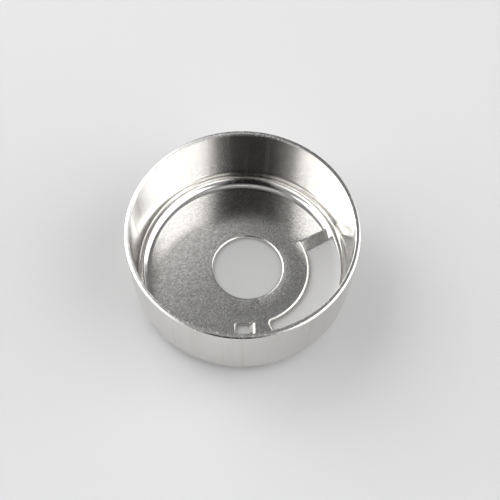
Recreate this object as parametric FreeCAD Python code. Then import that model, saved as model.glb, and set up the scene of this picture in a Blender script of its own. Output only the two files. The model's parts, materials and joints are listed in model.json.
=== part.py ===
import FreeCAD, Part
import math
import os

from FreeCAD import Vector

# Deep drawn sheet metal cup, open upwards, with a flat bottom that is pierced by a round hole,
# a kidney-shaped slot and a small window.
# +Z is up. The bottom rests on z = 0 and the origin is on the axis of the drawn wall.
# Lengths are in millimetres. Angles are in degrees, anticlockwise from +X seen from above.

# Drawn shell
OUTSIDE_DIAMETER = 30.0
HEIGHT = 12.0
SHEET = 0.7
PUNCH_RADIUS = 1.6          # inside corner between the bottom and the wall
RIM_OUTER_ROUND = 0.45      # an arc that leaves the rim's flat and meets the wall at an angle
RIM_OUTER_SPAN = 45         # how far that arc turns
RIM_INNER_BREAK = 0.1       # the rim's inner edge is only broken

# Round hole, set off the wall's axis along +X
HOLE_DIAMETER = 9.5
HOLE_OFFSET = 0.75
HOLE_EDGE_ROLL = 0.3        # the punch comes from inside and rolls the upper edge over

# Openings that run out to the foot of the wall
OPENING_TO_WALL = 0.65      # what is left of the corner between such an opening and the wall's inside

# Kidney slot, bent about the hole's centre
SLOT_INNER_RADIUS = 8.65
SLOT_START_ANGLE = -69.5
SLOT_BEND_ANGLE = 29.5      # where the bottom starts to slope down into the slot
SLOT_CORNER_RADIUS = 0.5
SLOT_EDGE_ROLL = 0.4
SLOT_RAMP_LENGTH = 1.5
SLOT_RAMP_DROP = 0.45

# Window on the -Y side, with straight sides along Y
WINDOW_CENTRE_X = 0.15
WINDOW_WIDTH = 1.85
WINDOW_INNER_EDGE = 8.5     # distance from the wall's axis
WINDOW_CORNER_RADIUS = 0.35
WINDOW_EDGE_ROLL = 0.25
WINDOW_RAMP_LENGTH = 0.85
WINDOW_RAMP_DROP = 0.4

# Both ramps leave the bottom tangentially, on an arc of this radius
RAMP_BEND_RADIUS = 0.8

OUTSIDE_RADIUS = OUTSIDE_DIAMETER / 2
INSIDE_RADIUS = OUTSIDE_RADIUS - SHEET
CORNER_RADIUS = PUNCH_RADIUS + SHEET
OPENING_RADIUS = INSIDE_RADIUS - OPENING_TO_WALL
HOLE_CENTRE = Vector(HOLE_OFFSET, 0, 0)
UP = Vector(0, 0, 1)
TOUCH = 1e-5                # places closer than this are the same place


def direction(angle):
    return Vector(math.cos(math.radians(angle)), math.sin(math.radians(angle)), 0)


def polar(centre, radius, angle):
    return centre + direction(angle) * radius


def line(start, end):
    return Part.LineSegment(start, end).toShape()


def arc_about(centre, radius, start_angle, end_angle):
    middle_angle = (start_angle + end_angle) / 2
    angles = (start_angle, middle_angle, end_angle)
    return Part.Arc(*[polar(centre, radius, angle) for angle in angles]).toShape()


def section_point(centre, radius, elevation):
    """A point around the centre in the wall's section, where +X is outwards."""
    angle = math.radians(elevation)
    return centre + Vector(math.cos(angle), 0, math.sin(angle)) * radius


def quarter_round(start, corner, end):
    """A quarter circle from start to end, tangent to both lines through the corner."""
    centre = start + end - corner
    middle = centre + (corner - centre) * (1 / math.sqrt(2))
    return Part.Arc(start, middle, end).toShape()


def meet_opening_circle(start, heading):
    """Where the ray from start meets the circle that bounds the slot and the window."""
    along = -start.dot(heading)
    reach = math.sqrt(along ** 2 - start.dot(start) + OPENING_RADIUS ** 2)
    return start + heading * (along + reach)


def opening_circle_arc(start, end):
    middle = (start + end).normalize() * OPENING_RADIUS
    return Part.Arc(start, middle, end).toShape()


def drawn_shell():
    """The wall section, followed from the axis along the underside and back along the inside."""
    top_inner = Vector(INSIDE_RADIUS, 0, HEIGHT)
    foot_outer = Vector(OUTSIDE_RADIUS, 0, 0)
    foot_inner = Vector(INSIDE_RADIUS, 0, SHEET)
    along = Vector(1, 0, 0)

    round_reach = RIM_OUTER_ROUND * math.sin(math.radians(RIM_OUTER_SPAN))
    round_centre = Vector(OUTSIDE_RADIUS - round_reach, 0, HEIGHT - RIM_OUTER_ROUND)
    rim_round = [
        section_point(round_centre, RIM_OUTER_ROUND, elevation)
        for elevation in (90 - RIM_OUTER_SPAN, 90 - RIM_OUTER_SPAN / 2, 90)
    ]
    points = [
        Vector(0, 0, 0),
        foot_outer - along * CORNER_RADIUS,
        foot_outer + UP * CORNER_RADIUS,
        rim_round[0],
        rim_round[2],
        top_inner + along * RIM_INNER_BREAK,
        top_inner - UP * RIM_INNER_BREAK,
        foot_inner + UP * PUNCH_RADIUS,
        foot_inner - along * PUNCH_RADIUS,
        Vector(0, 0, SHEET),
    ]
    section = Part.Wire([
        line(points[0], points[1]),
        quarter_round(points[1], foot_outer, points[2]),
        line(points[2], points[3]),
        Part.Arc(*rim_round).toShape(),
        line(points[4], points[5]),
        line(points[5], points[6]),
        line(points[6], points[7]),
        quarter_round(points[7], foot_inner, points[8]),
        line(points[8], points[9]),
        line(points[9], points[0]),
    ])
    return Part.Face(section).revolve(Vector(0, 0, 0), UP, 360)


def hole_outline():
    """The hole's edges that the punch rolls over, and the others, of which it has none."""
    return [Part.Circle(HOLE_CENTRE, UP, HOLE_DIAMETER / 2).toShape()], []


def slot_outline():
    """The slot's rolled edges, then its bend line and the arc beside the wall."""
    corner_reach = SLOT_INNER_RADIUS + SLOT_CORNER_RADIUS
    corner_turn = math.degrees(math.asin(SLOT_CORNER_RADIUS / corner_reach))
    corner_angle = SLOT_START_ANGLE + corner_turn
    corner_centre = polar(HOLE_CENTRE, corner_reach, corner_angle)

    start_outer = meet_opening_circle(HOLE_CENTRE, direction(SLOT_START_ANGLE))
    bend_inner = polar(HOLE_CENTRE, SLOT_INNER_RADIUS, SLOT_BEND_ANGLE)
    bend_outer = meet_opening_circle(HOLE_CENTRE, direction(SLOT_BEND_ANGLE))

    corner = arc_about(corner_centre, SLOT_CORNER_RADIUS, SLOT_START_ANGLE - 90, corner_angle - 180)
    start_line = line(start_outer, corner.Vertexes[0].Point)
    inner_arc = arc_about(HOLE_CENTRE, SLOT_INNER_RADIUS, corner_angle, SLOT_BEND_ANGLE)
    return (
        [start_line, corner, inner_arc],
        [line(bend_inner, bend_outer), opening_circle_arc(bend_outer, start_outer)],
    )


def window_outline():
    """The window's rolled edges, then its bend line and the arc beside the wall."""
    left = WINDOW_CENTRE_X - WINDOW_WIDTH / 2
    bend = WINDOW_CENTRE_X + WINDOW_WIDTH / 2 + WINDOW_RAMP_LENGTH
    corner = Vector(left, -WINDOW_INNER_EDGE, 0)
    before_corner = corner - Vector(0, WINDOW_CORNER_RADIUS, 0)
    after_corner = corner + Vector(WINDOW_CORNER_RADIUS, 0, 0)
    outwards = Vector(0, -1, 0)

    left_outer = meet_opening_circle(corner, outwards)
    bend_inner = Vector(bend, -WINDOW_INNER_EDGE, 0)
    bend_outer = meet_opening_circle(bend_inner, outwards)
    return (
        [
            line(left_outer, before_corner),
            quarter_round(before_corner, corner, after_corner),
            line(after_corner, bend_inner),
        ],
        [line(bend_inner, bend_outer), opening_circle_arc(bend_outer, left_outer)],
    )


def pierce(sheet_metal, outline, edge_roll):
    """Cut the outline through the bottom and roll the upper edge of its first group of edges."""
    rolled, plain = outline
    depth = SHEET * 3
    punch = Part.Face(Part.Wire(rolled + plain)).extrude(UP * depth)
    punch.translate(UP * (SHEET - depth / 2))
    pierced = sheet_metal.cut(punch)

    # Near the wall an upper edge climbs the corner, so it is matched in plan
    rolled_in_plan = Part.Compound(rolled)
    upper_edges = []
    for edge in pierced.Edges:
        middle = edge.valueAt((edge.FirstParameter + edge.LastParameter) / 2)
        in_plan = Part.Vertex(middle.x, middle.y, 0)
        if middle.z > SHEET - TOUCH and in_plan.distToShape(rolled_in_plan)[0] < TOUCH:
            upper_edges.append(edge)
    return pierced.makeFillet(edge_roll, upper_edges)


def inside_opening_circle():
    """The bottom's outer form, up to the openings' circle, as one disc without openings."""
    block = Part.makeCylinder(OUTSIDE_RADIUS, HEIGHT)
    foot = [edge for edge in block.Edges if edge.BoundBox.ZMax < TOUCH]
    return block.makeFillet(CORNER_RADIUS, foot).common(Part.makeCylinder(OPENING_RADIUS, SHEET))


def ramp(bend_line, length, drop, reach_inwards):
    """A tongue of the bottom, struck down from the bend line towards the opening.

    Its underside runs on from the bottom's. It reaches inwards under the rolled edge,
    so that the edge runs on along the ramp's side and dies out at the bend line.
    """
    inner, outer = [vertex.Point for vertex in bend_line.Vertexes]
    heading = (outer - inner).normalize()
    downhill = heading.cross(UP)
    # A short ramp limits the bend: past this radius the arc alone would overrun the tip
    widest_bend = (length ** 2 + drop ** 2) / (2 * drop)
    bend = min(RAMP_BEND_RADIUS, 0.9 * widest_bend)
    # The slope that makes the arc and its tangent fall by the drop over the ramp's length
    far = math.hypot(length, bend - drop)
    slope = math.asin(bend / far) - math.atan2(bend - drop, length)

    def on_section(distance, height):
        return inner - heading * reach_inwards + downhill * distance + UP * height

    def on_arc(angle):
        return on_section(bend * math.sin(angle), SHEET - bend * (1 - math.cos(angle)))

    tip = on_section(length, SHEET - drop)
    section = Part.Wire([
        line(on_section(0, 0), on_section(0, SHEET)),
        Part.Arc(on_arc(0), on_arc(slope / 2), on_arc(slope)).toShape(),
        line(on_arc(slope), tip),
        line(tip, on_section(length, 0)),
        line(on_section(length, 0), on_section(0, 0)),
    ])
    tongue = Part.Face(section).extrude(heading * OUTSIDE_RADIUS)
    return tongue.common(inside_opening_circle())


def cup():
    slot = slot_outline()
    window = window_outline()
    body = drawn_shell()
    body = pierce(body, hole_outline(), HOLE_EDGE_ROLL)
    body = pierce(body, slot, SLOT_EDGE_ROLL)
    body = pierce(body, window, WINDOW_EDGE_ROLL)

    slot_bend_line = slot[1][0]
    window_bend_line = window[1][0]
    slot_ramp = ramp(slot_bend_line, SLOT_RAMP_LENGTH, SLOT_RAMP_DROP, SLOT_EDGE_ROLL)
    window_ramp = ramp(window_bend_line, WINDOW_RAMP_LENGTH, WINDOW_RAMP_DROP, WINDOW_EDGE_ROLL)
    return body.fuse([slot_ramp, window_ramp]).removeSplitter()


def main():
    os.makedirs("parts", exist_ok=True)
    cup().exportStep(os.path.join("parts", "cup.step"))


main()
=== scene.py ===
import json
import math

import bmesh
import bpy
from mathutils import Matrix, Vector


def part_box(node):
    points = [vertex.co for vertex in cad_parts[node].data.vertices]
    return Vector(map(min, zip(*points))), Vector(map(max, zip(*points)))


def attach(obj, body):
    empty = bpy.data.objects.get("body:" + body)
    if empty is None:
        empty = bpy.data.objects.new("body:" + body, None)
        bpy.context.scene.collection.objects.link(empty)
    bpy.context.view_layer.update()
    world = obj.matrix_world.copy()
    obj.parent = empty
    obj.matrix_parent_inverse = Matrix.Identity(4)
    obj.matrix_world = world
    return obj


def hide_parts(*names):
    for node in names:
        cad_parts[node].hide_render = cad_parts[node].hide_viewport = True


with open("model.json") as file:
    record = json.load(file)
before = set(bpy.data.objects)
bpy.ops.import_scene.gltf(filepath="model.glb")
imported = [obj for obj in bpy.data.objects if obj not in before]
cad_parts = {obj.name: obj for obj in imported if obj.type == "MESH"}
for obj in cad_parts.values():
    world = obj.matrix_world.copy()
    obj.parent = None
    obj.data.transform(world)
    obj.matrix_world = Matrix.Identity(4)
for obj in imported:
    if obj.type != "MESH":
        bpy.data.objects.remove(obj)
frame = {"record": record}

bl_info = {
    "name": "Deep drawn metal cup",
    "version": (1, 0, 0),
    "blender": (4, 5, 0),
    "location": "View3D > Sidebar > Drawn Cup",
    "description": "A shallow drawn cup of bright sheet metal with a pierced bottom",
    "category": "Object",
}

# Lengths are in metres. +Z is up, the cup stands on z = 0 and its axis is the Z axis.
MM = 0.001
UP = Vector((0, 0, 1))
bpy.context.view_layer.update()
CUP_LOW, CUP_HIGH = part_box("cup")
MOUNTS = {mount["name"]: mount for mount in frame["record"]["mounts"]}


def mount_radius(name):
    return MOUNTS[name]["dims"]["r_mm"] * MM


# ---------------------------------------------------------------------------------------------
# Properties


def length(name, default, description):
    """A property in metres, shown in the scene's unit."""
    return bpy.props.FloatProperty(
        name=name, default=default, min=0, precision=5, unit="LENGTH", subtype="DISTANCE",
        description=description,
    )


def angle(name, degrees, description):
    return bpy.props.FloatProperty(
        name=name, default=math.radians(degrees), subtype="ANGLE", description=description
    )


def amount(name, default, description, highest=10.0):
    return bpy.props.FloatProperty(
        name=name, default=default, min=0, max=highest, precision=4, description=description
    )


def colour(name, default, description):
    return bpy.props.FloatVectorProperty(
        name=name, default=default, size=3, min=0, max=1, subtype="COLOR",
        description=description,
    )


class CupSizes(bpy.types.PropertyGroup):
    """The drawn shell, its three openings and the ramps at two of them."""

    outside_diameter: length(
        "Outside diameter", CUP_HIGH.x - CUP_LOW.x, "Across the outside of the wall"
    )
    height: length("Height", CUP_HIGH.z, "From the underside to the rim")
    sheet: length(
        "Sheet", mount_radius("outside_wall") - mount_radius("inside_wall"),
        "Thickness of the sheet metal",
    )
    punch_radius: length("Punch radius", 1.6 * MM, "Inside corner between bottom and wall")
    rim_outer_round: length("Rim outer round", 0.34 * MM, "Rounding of the rim's outer edge")
    rim_inner_round: length("Rim inner round", 0.1 * MM, "Rounding of the rim's inner edge")

    hole_diameter: length("Hole diameter", 2 * mount_radius("centre_hole"), "The round hole")
    hole_offset: length(
        "Hole offset", MOUNTS["centre_hole"]["pos_m"][0], "From the wall's axis along +X"
    )
    hole_edge_roll: length("Hole edge roll", 0.3 * MM, "How far the upper edge rolls over")

    opening_to_wall: length(
        "Opening to wall", 0.65 * MM, "Left between slot or window and the wall's inside"
    )
    slot_inner_radius: length("Slot inner radius", 8.65 * MM, "About the hole's centre")
    slot_start: angle("Slot start", -69.5, "Where the slot starts, about the hole's centre")
    slot_bend: angle("Slot bend", 29.5, "Where the bottom starts to slope down into the slot")
    slot_corner_radius: length("Slot corner", 0.5 * MM, "Inner corner at the slot's start")
    slot_edge_roll: length("Slot edge roll", 0.4 * MM, "How far the slot's edge rolls over")
    slot_ramp_length: length("Slot ramp length", 1.5 * MM, "From the bend to the free edge")
    slot_ramp_drop: length("Slot ramp drop", 0.45 * MM, "How far its free edge is struck down")

    window_centre: bpy.props.FloatProperty(
        name="Window centre", default=0.15 * MM, precision=5, unit="LENGTH",
        description="Middle of the window along X",
    )
    window_width: length("Window width", 1.85 * MM, "Along X, without its ramp")
    window_inner_edge: length("Window inner edge", 8.5 * MM, "Its distance from the axis")
    window_corner_radius: length("Window corner", 0.35 * MM, "Inner corner of the window")
    window_edge_roll: length("Window edge roll", 0.25 * MM, "How far its edge rolls over")
    window_ramp_length: length("Window ramp length", 0.85 * MM, "From bend to free edge")
    window_ramp_drop: length("Window ramp drop", 0.4 * MM, "How far its edge is struck down")

    ramp_bend_radius: length("Ramp bend radius", 0.8 * MM, "Of the arc that starts a ramp")
    steps_around: bpy.props.IntProperty(
        name="Steps around", default=360, min=48, description="Faces around the wall"
    )


class MetalFinish(bpy.types.PropertyGroup):
    """Colour and surface of the bright drawn metal."""

    metal: colour("Metal", (0.72, 0.71, 0.69), "Bright drawn metal")
    tarnish: colour("Tarnish", (0.55, 0.51, 0.45), "Thin oil film in the draw streaks")
    wall_roughness: amount("Wall roughness", 0.13, "Burnished by the die", 1.0)
    bottom_roughness: amount("Bottom roughness", 0.2, "Satin left by the rolling mill", 1.0)
    rim_roughness: amount("Rim roughness", 0.22, "Sheared by the trim die", 1.0)
    draw_lines: length("Draw lines", 0.0006 * MM, "Depth of the upright lines on the wall")
    grain: length("Grain", 0.006 * MM, "Depth of the fine grain on the bottom")
    trim_marks: length("Trim marks", 0.001 * MM, "Depth of the marks on the rim")


class StageSettings(bpy.types.PropertyGroup):
    """Floor, surroundings, lamps and camera."""

    floor: colour("Floor", (0.56, 0.56, 0.56), "Plain pale floor")
    backdrop: colour("Backdrop", (0.9, 0.9, 0.9), "Plain pale backdrop behind the floor")
    surroundings: colour("Surroundings", (0.37, 0.37, 0.375), "Plain soft light all round")
    softbox_light: amount("Softbox light", 2.2, "Radiance of the lamps on both sides")
    camera_elevation: angle("Camera elevation", 64.12, "Above the horizon, on the -Y side")
    camera_distance: length("Camera distance", 109.46 * MM, "From the cup's foot")
    camera_pan: angle("Camera pan", -0.558, "Turn about the camera's upright axis")
    camera_tilt: angle("Camera tilt", 1.384, "Turn about the camera's sideways axis")
    camera_roll: angle("Camera roll", 0.614, "Turn about the line of sight")
    lens: bpy.props.FloatProperty(
        name="Lens", default=56.3, min=1, unit="CAMERA", description="Focal length"
    )


# ---------------------------------------------------------------------------------------------
# Nodes


class Value:
    """A node's output. Arithmetic on it adds Math nodes to the same tree."""

    def __init__(self, nodes, socket):
        self.nodes = nodes
        self.socket = socket

    def _math(self, operation, *values, **settings):
        sockets = dict(enumerate(values))
        settings["operation"] = operation
        return self.nodes.add("ShaderNodeMath", settings, sockets)

    def __add__(self, other):
        return self._math("ADD", self, other)

    def __radd__(self, other):
        return self._math("ADD", other, self)

    def __sub__(self, other):
        return self._math("SUBTRACT", self, other)

    def __rsub__(self, other):
        return self._math("SUBTRACT", other, self)

    def __mul__(self, other):
        return self._math("MULTIPLY", self, other)

    def __rmul__(self, other):
        return self._math("MULTIPLY", other, self)

    def __truediv__(self, other):
        return self._math("DIVIDE", self, other)

    def __rtruediv__(self, other):
        return self._math("DIVIDE", other, self)

    def __pow__(self, other):
        return self._math("POWER", self, other)

    def __mod__(self, other):
        return self._math("MODULO", self, other)

    def __gt__(self, other):
        return self._math("GREATER_THAN", self, other)

    def floor(self):
        return self._math("FLOOR", self)

    def abs(self):
        return self._math("ABSOLUTE", self)

    def most(self, other):
        return self._math("MAXIMUM", self, other)


class Nodes:
    """Adds nodes to one tree."""

    def __init__(self, tree):
        self.tree = tree
        tree.nodes.clear()

    def add(self, kind, settings=None, sockets=None, output=0):
        """A node of that kind: its settings first, then values or links for its sockets."""
        node = self.tree.nodes.new(kind)
        for name, setting in (settings or {}).items():
            setattr(node, name, setting)
        for name, value in (sockets or {}).items():
            socket = node.inputs[name]
            for single in value if isinstance(value, list) else [value]:
                if isinstance(single, Value):
                    self.tree.links.new(single.socket, socket)
                else:
                    socket.default_value = single
        if not node.outputs:
            return node
        return Value(self, node.outputs[output])

    def other_output(self, value, name):
        """Another output of the node that a value comes from."""
        return Value(self, value.socket.node.outputs[name])

    def step(self, value, start, end, low=0.0, high=1.0):
        """Goes smoothly from low to high while the value goes from start to end."""
        return self.add(
            "ShaderNodeMapRange", {"interpolation_type": "SMOOTHSTEP"},
            {"Value": value, "From Min": start, "From Max": end, "To Min": low, "To Max": high},
        )

    def mix_colour(self, factor, first, second, blend="MIX"):
        settings = {"data_type": "RGBA", "blend_type": blend}
        sockets = {0: factor, 6: first, 7: second}
        return self.add("ShaderNodeMix", settings, sockets, output=2)

    def noise(self, place, scale, detail=2.0, roughness=0.5, distortion=0.0):
        return self.add(
            "ShaderNodeTexNoise", {"noise_dimensions": "3D"},
            {
                "Vector": place, "Scale": scale, "Detail": detail,
                "Roughness": roughness, "Distortion": distortion,
            },
        )


def rgba(shade):
    return (*shade, 1.0)


# ---------------------------------------------------------------------------------------------
# Outlines of the openings, in plan. "out" moves the rolled edges outwards and leaves the others.


def direction(turn):
    return Vector((math.cos(turn), math.sin(turn), 0))


def arc(centre, radius, start, end, steps):
    turns = [start + (end - start) * step / steps for step in range(steps + 1)]
    return [centre + direction(turn) * radius for turn in turns]


def meet_circle(start, heading, radius):
    """Where the ray from start meets the circle of that radius about the cup's axis."""
    along = -start.dot(heading)
    return start + heading * (along + math.sqrt(along ** 2 - start.dot(start) + radius ** 2))


def circle_between(start, end, radius, steps):
    """The points between start and end on the circle about the cup's axis."""
    first, last = (math.atan2(point.y, point.x) for point in (start, end))
    return arc(Vector((0, 0, 0)), radius, first, last, steps)[1:-1]


def hole_centre(sizes):
    return Vector((sizes.hole_offset, 0, 0))


def opening_radius(sizes):
    return sizes.outside_diameter / 2 - sizes.sheet - sizes.opening_to_wall


def hole_outline(sizes, out):
    radius = sizes.hole_diameter / 2 + out
    return arc(hole_centre(sizes), radius, 0, 2 * math.pi, 240)[:-1]


def slot_outline(sizes, out):
    """Start line, inner corner, inner arc, bend line, then back beside the wall."""
    centre = hole_centre(sizes)
    corner_reach = sizes.slot_inner_radius + sizes.slot_corner_radius
    corner_turn = sizes.slot_start + math.asin(sizes.slot_corner_radius / corner_reach)
    corner_centre = centre + direction(corner_turn) * corner_reach
    clockwise = direction(sizes.slot_start - math.pi / 2)
    limit = opening_radius(sizes)

    start_outer = meet_circle(centre + clockwise * out, direction(sizes.slot_start), limit)
    bend_outer = meet_circle(centre, direction(sizes.slot_bend), limit)
    corner = arc(
        corner_centre, sizes.slot_corner_radius + out,
        sizes.slot_start - math.pi / 2, corner_turn - math.pi, 16,
    )
    inner = arc(centre, sizes.slot_inner_radius - out, corner_turn, sizes.slot_bend, 120)
    beside_wall = circle_between(bend_outer, start_outer, limit, 120)
    return [start_outer] + corner[:-1] + inner + [bend_outer] + beside_wall


def window_bend(sizes):
    return sizes.window_centre + sizes.window_width / 2 + sizes.window_ramp_length


def window_outline(sizes, out):
    """Left side, inner corner, inner side, bend line, then back beside the wall."""
    left = sizes.window_centre - sizes.window_width / 2
    corner_centre = Vector((
        left + sizes.window_corner_radius,
        -sizes.window_inner_edge - sizes.window_corner_radius, 0,
    ))
    outwards = Vector((0, -1, 0))
    limit = opening_radius(sizes)

    corner = arc(
        corner_centre, sizes.window_corner_radius + out, math.pi, math.pi / 2, 16
    )
    bend_inner = Vector((window_bend(sizes), -sizes.window_inner_edge + out, 0))
    left_outer = meet_circle(Vector((left - out, 0, 0)), outwards, limit)
    bend_outer = meet_circle(bend_inner, outwards, limit)
    beside_wall = circle_between(bend_outer, left_outer, limit, 12)
    return [left_outer] + corner + [bend_inner, bend_outer] + beside_wall


# ---------------------------------------------------------------------------------------------
# The tools that pierce the bottom and the tongues that are struck down


def corner_rise(point, flat_radius, corner_radius):
    """How high a corner has climbed above the flat at that point in plan."""
    past = min(max(math.hypot(point.x, point.y) - flat_radius, 0), corner_radius)
    return corner_radius - math.sqrt(corner_radius ** 2 - past ** 2)


def inside_rise(sizes, point):
    flat = sizes.outside_diameter / 2 - sizes.sheet - sizes.punch_radius
    return corner_rise(point, flat, sizes.punch_radius)


def outside_rise(sizes, point):
    corner_radius = sizes.punch_radius + sizes.sheet
    return corner_rise(point, sizes.outside_diameter / 2 - corner_radius, corner_radius)


def object_from(bm, name):
    """A new object from a closed bmesh, with its faces turned outwards."""
    bmesh.ops.remove_doubles(bm, verts=bm.verts[:], dist=1e-9)
    bmesh.ops.recalc_face_normals(bm, faces=bm.faces[:])
    mesh = bpy.data.meshes.new(name)
    bm.to_mesh(mesh)
    bm.free()
    tool = bpy.data.objects.new(name, mesh)
    bpy.context.scene.collection.objects.link(tool)
    return tool


def make_punch(sizes, name, outline, roll):
    """A piercing punch that flares at the top, where it rolls the edge of the sheet over."""
    clearance = 1 * MM
    past_surface = 0.003 * MM
    roll_steps = 10

    levels = [(0, -clearance), (0, sizes.sheet - roll)]
    for step in range(1, roll_steps + 1):
        turn = math.pi / 2 * step / roll_steps
        lift = past_surface if step == roll_steps else 0
        levels.append(
            (roll * (1 - math.cos(turn)), sizes.sheet - roll * (1 - math.sin(turn)) + lift)
        )
    levels.append((roll, sizes.sheet + clearance))

    bm = bmesh.new()
    rings = []
    for number, (out, height) in enumerate(levels):
        ring = []
        for point in outline(sizes, out):
            rise = inside_rise(sizes, point) if number else 0
            ring.append(bm.verts.new(point + UP * (height + rise)))
        rings.append(ring)
    for lower, upper in zip(rings, rings[1:]):
        for here in range(len(lower)):
            bm.faces.new((lower[here - 1], lower[here], upper[here], upper[here - 1]))
    bm.faces.new(rings[0])
    bm.faces.new(rings[-1])
    return object_from(bm, name)


def ramp_fall(sizes, distance, ramp_length, drop):
    """How far the ramp has fallen at that distance from its bend line."""
    # A short ramp limits the bend: past the widest radius the arc alone would overrun the tip
    widest_bend = (ramp_length ** 2 + drop ** 2) / (2 * drop)
    margin = 0.9
    bend = min(sizes.ramp_bend_radius, margin * widest_bend)
    far = math.hypot(ramp_length, bend - drop)
    slope = math.asin(bend / far) - math.atan2(bend - drop, ramp_length)
    arc_end = bend * math.sin(slope)
    if distance <= arc_end:
        return bend - math.sqrt(bend ** 2 - max(distance, 0) ** 2)
    return bend * (1 - math.cos(slope)) + (distance - arc_end) * math.tan(slope)


def make_tongue(sizes, name, bend_inner, heading, ramp_length, drop, reach_inwards):
    """A tongue of the bottom, struck down from its bend line towards the opening.

    It starts just inside the sheet and ends just inside the corner of the wall, so that it
    joins both. Beside the wall it climbs the corner and is struck down less.
    """
    overlap = 0.05 * MM
    below_surface = 0.003 * MM
    above_underside = 0.01 * MM
    held_reach = 1.3 * MM
    held_share = 0.45
    steps_along, steps_across = 16, 24
    downhill = heading.cross(UP)
    start = bend_inner - heading * reach_inwards
    limit = opening_radius(sizes) + overlap

    distances = [-overlap] + [ramp_length * step / steps_along for step in range(steps_along + 1)]
    bm = bmesh.new()
    upper, lower = [], []
    for distance in distances:
        row_start = start + downhill * distance
        row_end = meet_circle(row_start, heading, limit)
        upper_row, lower_row = [], []
        for step in range(steps_across + 1):
            point = row_start.lerp(row_end, step / steps_across)
            held = max(0, math.hypot(point.x, point.y) - limit + held_reach) / held_reach
            fall = ramp_fall(sizes, distance, ramp_length, drop) * (1 - held_share * held ** 2)
            top = sizes.sheet - below_surface - fall + inside_rise(sizes, point)
            bottom = above_underside + outside_rise(sizes, point)
            upper_row.append(bm.verts.new(point + UP * top))
            lower_row.append(bm.verts.new(point + UP * bottom))
        upper.append(upper_row)
        lower.append(lower_row)

    for skin in (upper, lower):
        for row, next_row in zip(skin, skin[1:]):
            for here in range(steps_across):
                bm.faces.new((row[here], row[here + 1], next_row[here + 1], next_row[here]))
    for top_row, bottom_row in ((upper[0], lower[0]), (upper[-1], lower[-1])):
        for here in range(steps_across):
            bm.faces.new(
                (top_row[here], top_row[here + 1], bottom_row[here + 1], bottom_row[here])
            )
    for end in (0, -1):
        for row in range(len(distances) - 1):
            bm.faces.new(
                (upper[row][end], upper[row + 1][end], lower[row + 1][end], lower[row][end])
            )
    return object_from(bm, name)


# ---------------------------------------------------------------------------------------------
# The drawn shell, as a node tree


SHELL_LENGTHS = (
    "Outside Radius", "Height", "Sheet", "Punch Radius", "Rim Outer Round", "Rim Inner Round",
)
SHELL_CUTTERS = ("Hole Punch", "Slot Punch", "Window Punch")
SHELL_TONGUES = ("Slot Tongue", "Window Tongue")


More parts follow.
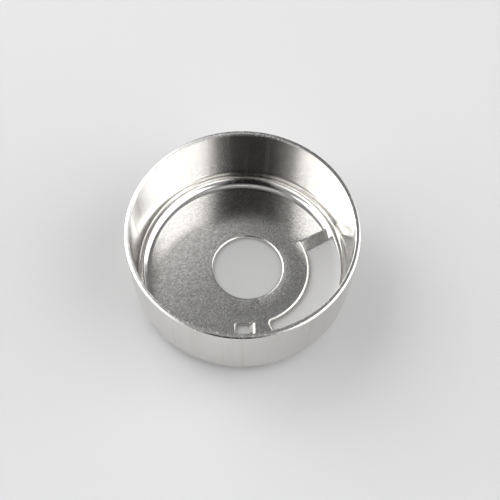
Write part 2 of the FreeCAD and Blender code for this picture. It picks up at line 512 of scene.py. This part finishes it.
def shell_tree():
    """Turns the wall's section about Z, pierces the bottom and joins the tongues."""
    tree = bpy.data.node_groups.new("Drawn cup", "GeometryNodeTree")
    nodes = Nodes(tree)
    interface = tree.interface
    for name in SHELL_LENGTHS:
        socket = interface.new_socket(name, in_out="INPUT", socket_type="NodeSocketFloat")
        socket.subtype = "DISTANCE"
    for name in ("Steps Around", "Corner Steps"):
        interface.new_socket(name, in_out="INPUT", socket_type="NodeSocketInt")
    for name in SHELL_CUTTERS + SHELL_TONGUES:
        interface.new_socket(name, in_out="INPUT", socket_type="NodeSocketObject")
    interface.new_socket("Material", in_out="INPUT", socket_type="NodeSocketMaterial")
    interface.new_socket("Geometry", in_out="OUTPUT", socket_type="NodeSocketGeometry")

    given = nodes.add("NodeGroupInput")
    inputs = {
        socket.name: Value(nodes, socket) for socket in given.socket.node.outputs if socket.name
    }
    radius, height, sheet = (inputs[name] for name in SHELL_LENGTHS[:3])
    inner = radius - sheet

    def place(x, z):
        return nodes.add("ShaderNodeCombineXYZ", None, {"X": x, "Z": z})

    def by_index(data_type, values):
        """One value for each corner of the section."""
        index = nodes.add("GeometryNodeInputIndex")
        switch = nodes.add("GeometryNodeIndexSwitch", {"data_type": data_type}, {"Index": index})
        node = switch.socket.node
        while len(node.index_switch_items) < len(values):
            node.index_switch_items.new()
        for number, value in enumerate(values):
            socket = node.inputs[1 + number]
            if isinstance(value, Value):
                tree.links.new(value.socket, socket)
            else:
                socket.default_value = value
        return switch

    corners = [
        (place(0.0, 0.0), 0.0),
        (place(radius, 0.0), inputs["Punch Radius"] + sheet),
        (place(radius, height), inputs["Rim Outer Round"]),
        (place(inner, height), inputs["Rim Inner Round"]),
        (place(inner, sheet), inputs["Punch Radius"]),
        (place(0.0, sheet), 0.0),
    ]
    section = nodes.add("GeometryNodeMeshLine", None, {"Count": len(corners)})
    section = nodes.add("GeometryNodeMeshToCurve", None, {"Mesh": section})
    section = nodes.add("GeometryNodeSetPosition", None, {
        "Geometry": section, "Position": by_index("VECTOR", [corner[0] for corner in corners]),
    })
    section = nodes.add("GeometryNodeFilletCurve", {"mode": "POLY"}, {
        "Curve": section, "Count": inputs["Corner Steps"],
        "Radius": by_index("FLOAT", [corner[1] for corner in corners]), "Limit Radius": True,
    })
    section_size = nodes.add("GeometryNodeAttributeDomainSize", {"component": "CURVE"}, {
        "Geometry": section,
    })

    # Each vertex of a grid takes its point of the section and its turn about the axis
    grid = nodes.add("GeometryNodeMeshGrid", None, {
        "Vertices X": inputs["Steps Around"] + 1, "Vertices Y": section_size,
    })
    index = nodes.add("GeometryNodeInputIndex")
    along = index % section_size
    turn = (index / section_size).floor() * (2 * math.pi) / inputs["Steps Around"]
    here = nodes.add("GeometryNodeSampleIndex", {"data_type": "FLOAT_VECTOR"}, {
        "Geometry": section, "Value": nodes.add("GeometryNodeInputPosition"), "Index": along,
    })
    turned = nodes.add("ShaderNodeVectorRotate", {"rotation_type": "Z_AXIS"}, {
        "Vector": here, "Angle": turn,
    })
    shell = nodes.add("GeometryNodeSetPosition", None, {"Geometry": grid, "Position": turned})
    shell = nodes.add("GeometryNodeMergeByDistance", None, {
        "Geometry": shell, "Distance": 1e-7,
    })
    shell = nodes.add("GeometryNodeFlipFaces", None, {"Mesh": shell})

    def tool(name):
        info = nodes.add("GeometryNodeObjectInfo", None, {"Object": inputs[name]})
        return nodes.other_output(info, "Geometry")

    pierced = nodes.add(
        "GeometryNodeMeshBoolean", {"operation": "DIFFERENCE", "solver": "EXACT"},
        {"Mesh 1": shell, "Mesh 2": [tool(name) for name in SHELL_CUTTERS]},
    )
    joined = nodes.add(
        "GeometryNodeMeshBoolean", {"operation": "UNION", "solver": "EXACT"},
        {"Mesh 2": [pierced] + [tool(name) for name in SHELL_TONGUES]},
    )
    smooth = nodes.add("GeometryNodeSetShadeSmooth", {"domain": "FACE"}, {"Geometry": joined})
    edge_angle = nodes.add("GeometryNodeInputMeshEdgeAngle")
    smooth = nodes.add("GeometryNodeSetShadeSmooth", {"domain": "EDGE"}, {
        "Geometry": smooth, "Selection": edge_angle > math.radians(35), "Shade Smooth": False,
    })
    realised = nodes.add("GeometryNodeRealizeInstances", None, {"Geometry": smooth})
    finished = nodes.add("GeometryNodeSetMaterial", None, {
        "Geometry": realised, "Material": inputs["Material"],
    })
    nodes.add("NodeGroupOutput", None, {"Geometry": finished})
    return tree


def plain_mesh_from(maker, name):
    """The evaluated result of an object's modifiers, as a mesh of its own."""
    depsgraph = bpy.context.evaluated_depsgraph_get()
    mesh = bpy.data.meshes.new_from_object(
        maker.evaluated_get(depsgraph), preserve_all_data_layers=True, depsgraph=depsgraph
    )
    mesh.name = name
    return mesh


# ---------------------------------------------------------------------------------------------
# Materials


def bright_metal(sizes, finish):
    """Drawn sheet metal: burnished walls, a satin bottom and a sheared rim."""
    material = bpy.data.materials.new("bright_drawn_metal")
    material.use_nodes = True
    nodes = Nodes(material.node_tree)

    # Places in millimetres, and the distance from the cup's axis
    place = nodes.add("ShaderNodeVectorMath", {"operation": "SCALE"}, {
        0: nodes.add("ShaderNodeTexCoord", output=3), "Scale": 1 / MM,
    })
    x = nodes.add("ShaderNodeSeparateXYZ", None, {0: place})
    y, z = (nodes.other_output(x, name) for name in "YZ")
    radius = (x ** 2 + y ** 2) ** 0.5
    inside = (sizes.outside_diameter / 2 - sizes.sheet) / MM
    top = sizes.height / MM
    flat = inside - sizes.punch_radius / MM
    on_wall = nodes.step(radius, flat - 0.25, flat + 0.15)
    on_rim = nodes.step(z, top - 0.5, top - 0.05)

    # Upright draw lines: the pattern hardly changes along Z
    stretched = nodes.add("ShaderNodeVectorMath", {"operation": "MULTIPLY"}, {
        0: place, 1: (1.0, 1.0, 0.04),
    })
    fine_lines = nodes.noise(stretched, 9.0, detail=5.0, roughness=0.62)
    broad_streaks = nodes.noise(stretched, 0.9, detail=3.0, roughness=0.55)
    grain = nodes.noise(place, 5.0, detail=3.0, roughness=0.7)
    mottle = nodes.noise(place, 0.55, detail=4.0, roughness=0.6, distortion=0.6)
    trim = nodes.noise(place, 2.2, detail=4.0, roughness=0.65)

    streak = nodes.step(broad_streaks, 0.5, 0.78) * on_wall * (1 - on_rim)
    film = streak * 0.35 + nodes.step(mottle, 0.55, 0.85) * 0.12
    # Painted glints: the grain noise makes the bottom's colour lighter and darker in small spots,
    # standing in for light glinting off the grain
    painted_glints = nodes.step(grain, 0.36, 0.66, 0.82, 1.08)
    shade = nodes.mix_colour(film, rgba(finish.metal), rgba(finish.tarnish))
    painted_glint_colour = nodes.mix_colour(1.0, shade, painted_glints, blend="MULTIPLY")
    base = nodes.mix_colour(on_wall * 0.85, painted_glint_colour, shade)

    smooth_part = finish.bottom_roughness * (1 - on_wall) + finish.wall_roughness * on_wall
    rough = smooth_part * (1 - on_rim) + finish.rim_roughness * on_rim
    rough = rough + (fine_lines - 0.5) * 0.08 * on_wall + (grain - 0.5) * 0.16 * (1 - on_wall)
    rough = rough + streak * 0.1 + nodes.step(trim, 0.5, 0.75) * 0.16 * on_rim

    relief = fine_lines * on_wall * (1 - on_rim) * (finish.draw_lines / MM)
    relief = relief + grain * (1 - on_wall) * (finish.grain / MM)
    relief = relief + trim * on_rim * (finish.trim_marks / MM)
    bump = nodes.add("ShaderNodeBump", None, {
        "Strength": 1.0, "Distance": MM, "Height": relief,
    })
    shader = nodes.add("ShaderNodeBsdfPrincipled", None, {
        "Base Color": base, "Metallic": 1.0, "Roughness": rough.most(0.05), "Normal": bump,
    })
    nodes.add("ShaderNodeOutputMaterial", None, {"Surface": shader})
    return material


def pale_floor(stage):
    """Plain matt floor."""
    material = bpy.data.materials.new("pale_floor")
    material.use_nodes = True
    nodes = Nodes(material.node_tree)
    shader = nodes.add("ShaderNodeBsdfPrincipled", None, {
        "Base Color": rgba(stage.floor), "Roughness": 0.8, "Specular IOR Level": 0.2,
    })
    nodes.add("ShaderNodeOutputMaterial", None, {"Surface": shader})
    return material


# ---------------------------------------------------------------------------------------------
# Operators


class DRAWNCUP_OT_make_cup(bpy.types.Operator):
    """Make the drawn cup and put it in the place of the plain solid"""

    bl_idname = "drawncup.make_cup"
    bl_label = "Make the cup"

    def execute(self, context):
        sizes = context.scene.drawncup_sizes
        finish = context.scene.drawncup_finish
        slot_heading = direction(sizes.slot_bend)
        window_inner = Vector((window_bend(sizes), -sizes.window_inner_edge, 0))
        tools = {
            "Hole Punch": make_punch(
                sizes, "hole_punch", hole_outline, sizes.hole_edge_roll
            ),
            "Slot Punch": make_punch(
                sizes, "slot_punch", slot_outline, sizes.slot_edge_roll
            ),
            "Window Punch": make_punch(
                sizes, "window_punch", window_outline, sizes.window_edge_roll
            ),
            "Slot Tongue": make_tongue(
                sizes, "slot_tongue",
                hole_centre(sizes) + slot_heading * sizes.slot_inner_radius, slot_heading,
                sizes.slot_ramp_length, sizes.slot_ramp_drop, sizes.slot_edge_roll,
            ),
            "Window Tongue": make_tongue(
                sizes, "window_tongue", window_inner, Vector((0, -1, 0)),
                sizes.window_ramp_length, sizes.window_ramp_drop, sizes.window_edge_roll,
            ),
        }
        given = {
            "Outside Radius": sizes.outside_diameter / 2,
            "Height": sizes.height,
            "Sheet": sizes.sheet,
            "Punch Radius": sizes.punch_radius,
            "Rim Outer Round": sizes.rim_outer_round,
            "Rim Inner Round": sizes.rim_inner_round,
            "Steps Around": sizes.steps_around,
            "Corner Steps": 12,
            "Material": bright_metal(sizes, finish),
            **tools,
        }
        maker = bpy.data.objects.new("cup_maker", bpy.data.meshes.new("cup_maker"))
        context.scene.collection.objects.link(maker)
        modifier = maker.modifiers.new("Drawn cup", "NODES")
        modifier.node_group = shell_tree()
        for socket in modifier.node_group.interface.items_tree:
            if socket.in_out == "INPUT":
                modifier[socket.identifier] = given[socket.name]
        normals = maker.modifiers.new("Even normals", "WEIGHTED_NORMAL")
        normals.keep_sharp = True

        mesh = plain_mesh_from(maker, "drawn_cup")
        for spare in [maker, *tools.values()]:
            bpy.data.objects.remove(spare)
        if not mesh.polygons:
            raise RuntimeError("the drawn cup came out empty")
        cup = bpy.data.objects.new("drawn_cup", mesh)
        context.scene.collection.objects.link(cup)
        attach(cup, "root")
        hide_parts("cup")
        return {"FINISHED"}


def add_softbox(name, place, size, radiance):
    """A soft rectangular lamp that looks at the cup."""
    lamp = bpy.data.lights.new(name, "AREA")
    lamp.shape = "RECTANGLE"
    lamp.size, lamp.size_y = size
    lamp.energy = radiance * math.pi * size[0] * size[1]
    holder = bpy.data.objects.new(name, lamp)
    holder.location = place
    holder.rotation_euler = (-place).to_track_quat("-Z", "Y").to_euler()
    bpy.context.scene.collection.objects.link(holder)


class DRAWNCUP_OT_set_stage(bpy.types.Operator):
    """Add the floor, the soft surroundings, the lamps and the camera"""

    bl_idname = "drawncup.set_stage"
    bl_label = "Set the stage"

    def execute(self, context):
        stage = context.scene.drawncup_stage
        self.add_floor(stage)
        self.set_world(context, stage)
        self.add_lamps(stage)
        self.add_camera(context, stage)
        context.scene.view_settings.view_transform = "Standard"
        return {"FINISHED"}

    @staticmethod
    def add_floor(stage):
        half_width = 0.4
        bm = bmesh.new()
        bmesh.ops.create_grid(bm, x_segments=1, y_segments=1, size=half_width)
        floor = object_from(bm, "floor")
        floor.data.materials.append(pale_floor(stage))

    @staticmethod
    def set_world(context, stage):
        """Soft light all round, darker on the side of whoever looks into the cup."""
        world = bpy.data.worlds.new("soft_surroundings")
        world.use_nodes = True
        context.scene.world = world
        nodes = Nodes(world.node_tree)
        heading = nodes.add("ShaderNodeTexCoord", output=0)
        x = nodes.add("ShaderNodeSeparateXYZ", None, {0: heading})
        y, z = (nodes.other_output(x, name) for name in "YZ")

        # A dark figure in front, from the horizon up to its shoulders, a little to the left
        across = nodes.step(x, -0.43, -0.32) * nodes.step(x, 0.33, 0.13)
        figure = across * nodes.step(y, -0.3, -0.42)
        figure_darkness = 0.96
        level = nodes.step(z, 0.0, 0.9, 1.5, 0.9) * (1 - figure_darkness * figure)

        # Behind the cup it is dark near the horizon and less so higher up
        behind = nodes.step(y, 0.1, 0.35) * nodes.step(x.abs(), 0.75, 0.4)
        level = level * (1 - nodes.step(z, 0.3, 0.8, 0.97, 0.4) * behind)

        # Both sides are brighter near the horizon
        sides = nodes.step(x.abs(), 0.5, 0.8) * nodes.step(z, 0.6, 0.3)
        side_gain = 3
        level = level * (1 + side_gain * sides)
        unlit = nodes.add("ShaderNodeLightPath", output=0)
        lit = nodes.mix_colour(1.0, rgba(stage.surroundings), level, blend="MULTIPLY")
        seen = nodes.mix_colour(unlit, lit, rgba(stage.backdrop))
        background = nodes.add("ShaderNodeBackground", None, {"Color": seen})
        nodes.add("ShaderNodeOutputWorld", None, {"Surface": background})

    @staticmethod
    def add_lamps(stage):
        """Softboxes, each by its name, turn about Z, lift above the horizon and size."""
        lamp_distance = 0.6
        for name, turn, lift, size in (
            ("left_softbox", 168, 38, (0.6, 0.64)),
            ("right_softbox", -8, 38, (0.72, 0.64)),
            ("back_left_softbox", 128, 35, (0.4, 0.62)),
            ("top_softbox", -90, 88, (0.3, 0.015)),
        ):
            turn, lift = math.radians(turn), math.radians(lift)
            place = (direction(turn) * math.cos(lift) + UP * math.sin(lift))
            add_softbox(name, place * lamp_distance, size, stage.softbox_light)

    @staticmethod
    def add_camera(context, stage):
        camera = bpy.data.objects.new("camera", bpy.data.cameras.new("camera"))
        camera.data.sensor_width = 36
        camera.data.lens = stage.lens
        camera.data.clip_start = 1 * MM
        back = Vector((0, -math.cos(stage.camera_elevation), math.sin(stage.camera_elevation)))
        aim = (-back).to_track_quat("-Z", "Y").to_matrix()
        aim = aim @ Matrix.Rotation(stage.camera_pan, 3, "Y")
        aim = aim @ Matrix.Rotation(stage.camera_tilt, 3, "X")
        aim = aim @ Matrix.Rotation(stage.camera_roll, 3, "Z")
        camera.rotation_euler = aim.to_euler()
        camera.location = back * stage.camera_distance
        context.scene.collection.objects.link(camera)
        context.scene.camera = camera


class DRAWNCUP_PT_panel(bpy.types.Panel):
    """Sizes, finish and stage of the drawn cup"""

    bl_idname = "DRAWNCUP_PT_panel"
    bl_label = "Drawn Cup"
    bl_space_type = "VIEW_3D"
    bl_region_type = "UI"
    bl_category = "Drawn Cup"

    def draw(self, context):
        groups = (
            (context.scene.drawncup_sizes, None),
            (context.scene.drawncup_finish, DRAWNCUP_OT_make_cup),
            (context.scene.drawncup_stage, DRAWNCUP_OT_set_stage),
        )
        for group, operator in groups:
            column = self.layout.column()
            for name in group.__annotations__:
                column.prop(group, name)
            if operator:
                column.operator(operator.bl_idname)


CLASSES = (
    CupSizes, MetalFinish, StageSettings, DRAWNCUP_OT_make_cup, DRAWNCUP_OT_set_stage,
    DRAWNCUP_PT_panel,
)


def register():
    for each in CLASSES:
        bpy.utils.register_class(each)
    bpy.types.Scene.drawncup_sizes = bpy.props.PointerProperty(type=CupSizes)
    bpy.types.Scene.drawncup_finish = bpy.props.PointerProperty(type=MetalFinish)
    bpy.types.Scene.drawncup_stage = bpy.props.PointerProperty(type=StageSettings)


def unregister():
    del bpy.types.Scene.drawncup_sizes
    del bpy.types.Scene.drawncup_finish
    del bpy.types.Scene.drawncup_stage
    for each in reversed(CLASSES):
        bpy.utils.unregister_class(each)


def main():
    register()
    bpy.ops.drawncup.make_cup()
    bpy.ops.drawncup.set_stage()


if __name__ == "__main__":
    main()
